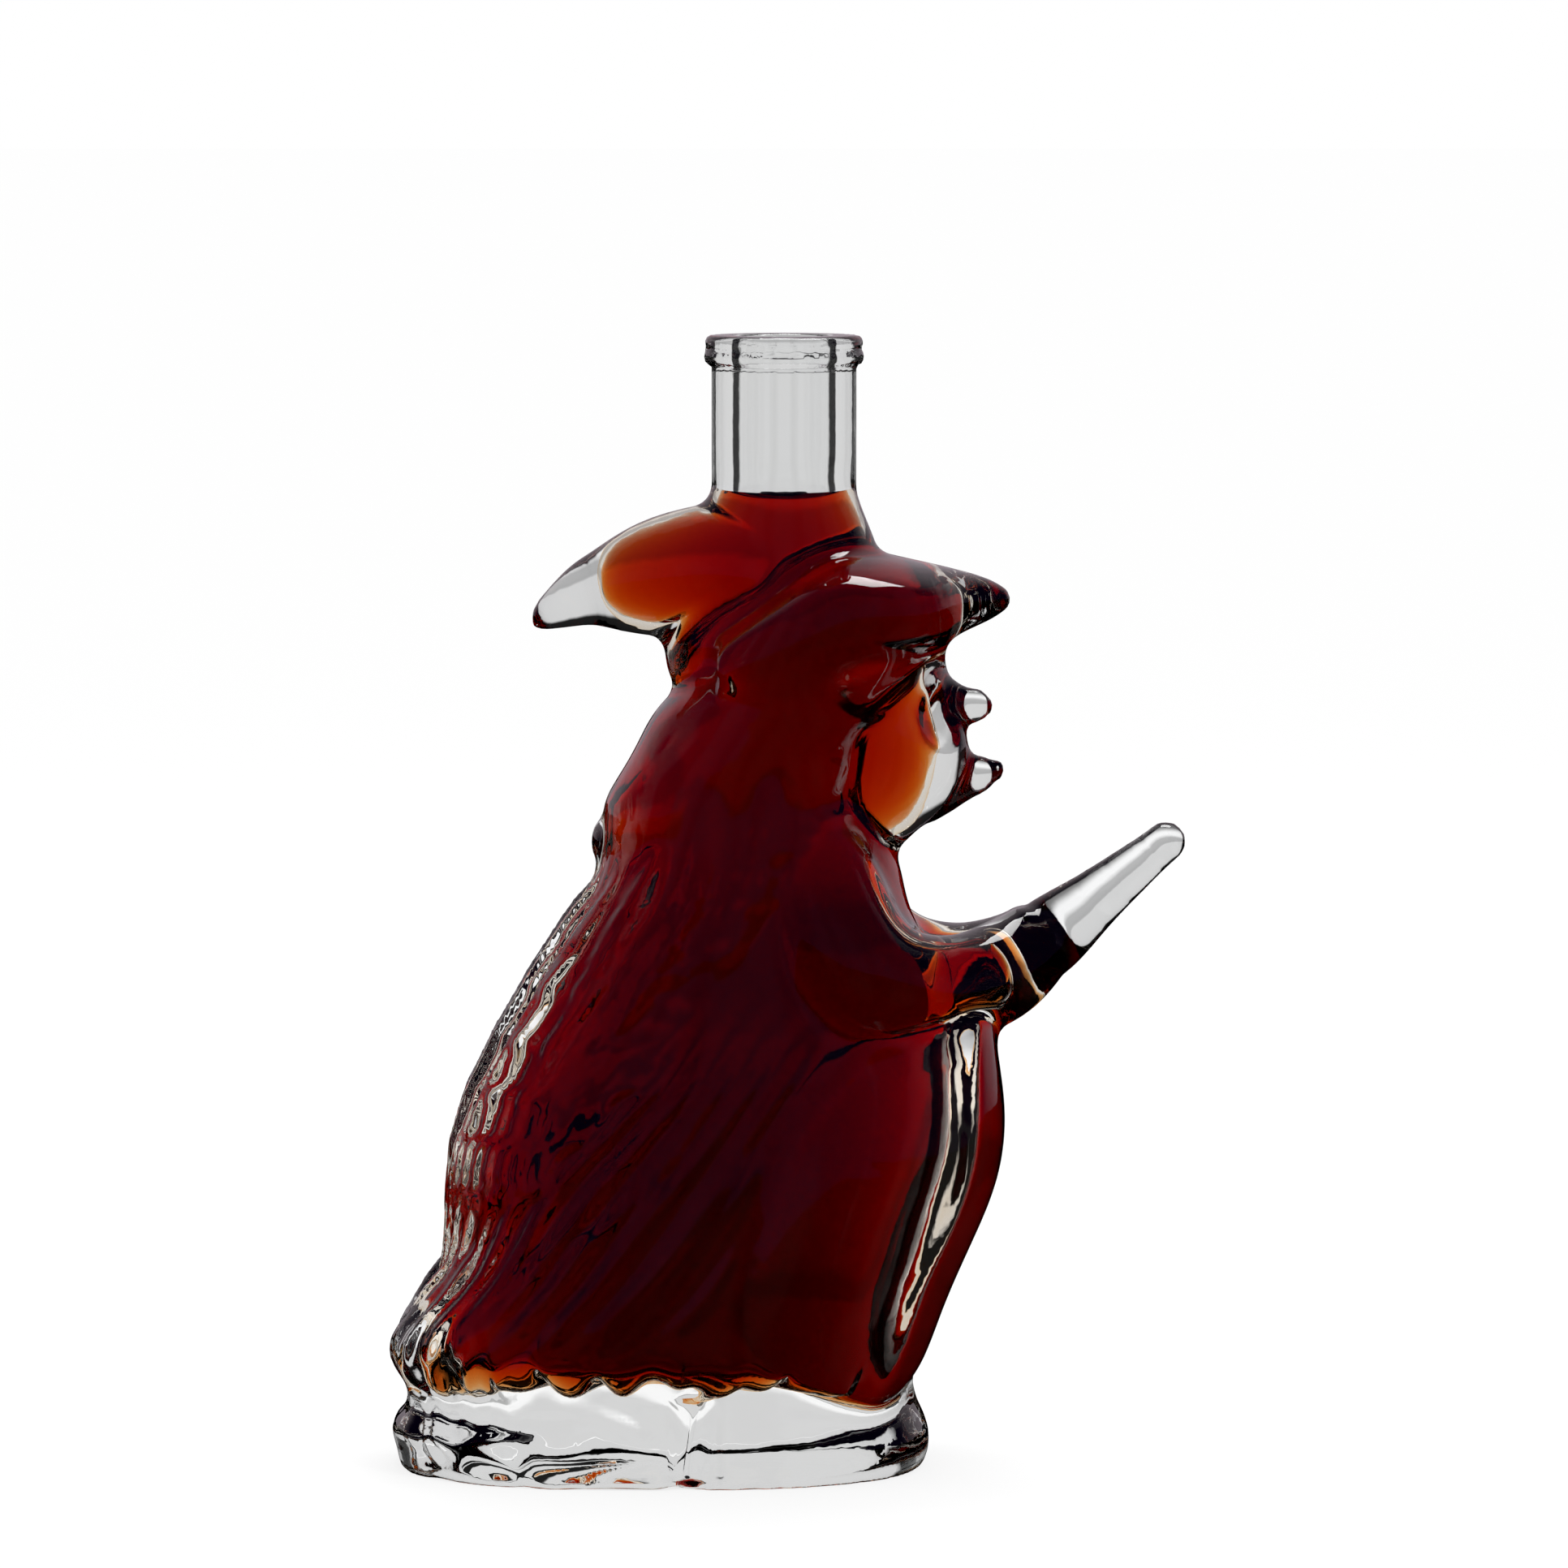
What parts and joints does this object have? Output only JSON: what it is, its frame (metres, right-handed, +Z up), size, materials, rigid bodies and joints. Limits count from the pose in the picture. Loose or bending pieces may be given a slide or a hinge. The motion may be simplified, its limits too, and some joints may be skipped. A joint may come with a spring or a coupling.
{
  "type": "figural liquor decanter",
  "caption": "Clear moulded-glass decanter shaped as a hunched folklore witch in a crooked hat, filled with dark red-brown liquor, with an upright open neck that takes a cork.",
  "frame": {"origin": "middle of the footprint, on the surface that the bottle stands on", "axes": "+Z up along the neck, +X the way the figure faces, and the mould's parting plane at Y = 0"},
  "size_m": [0.1402, 0.07, 0.1995],
  "materials": {
    "clear_glass": "clear colourless moulded glass, fire-polished",
    "liquor": "clear dark red-brown liquid, amber where it is thin"
  },
  "bodies": {
    "root": {"glass_bottle": "clear_glass", "liquor": "liquor"}
  },
  "joints": []
}
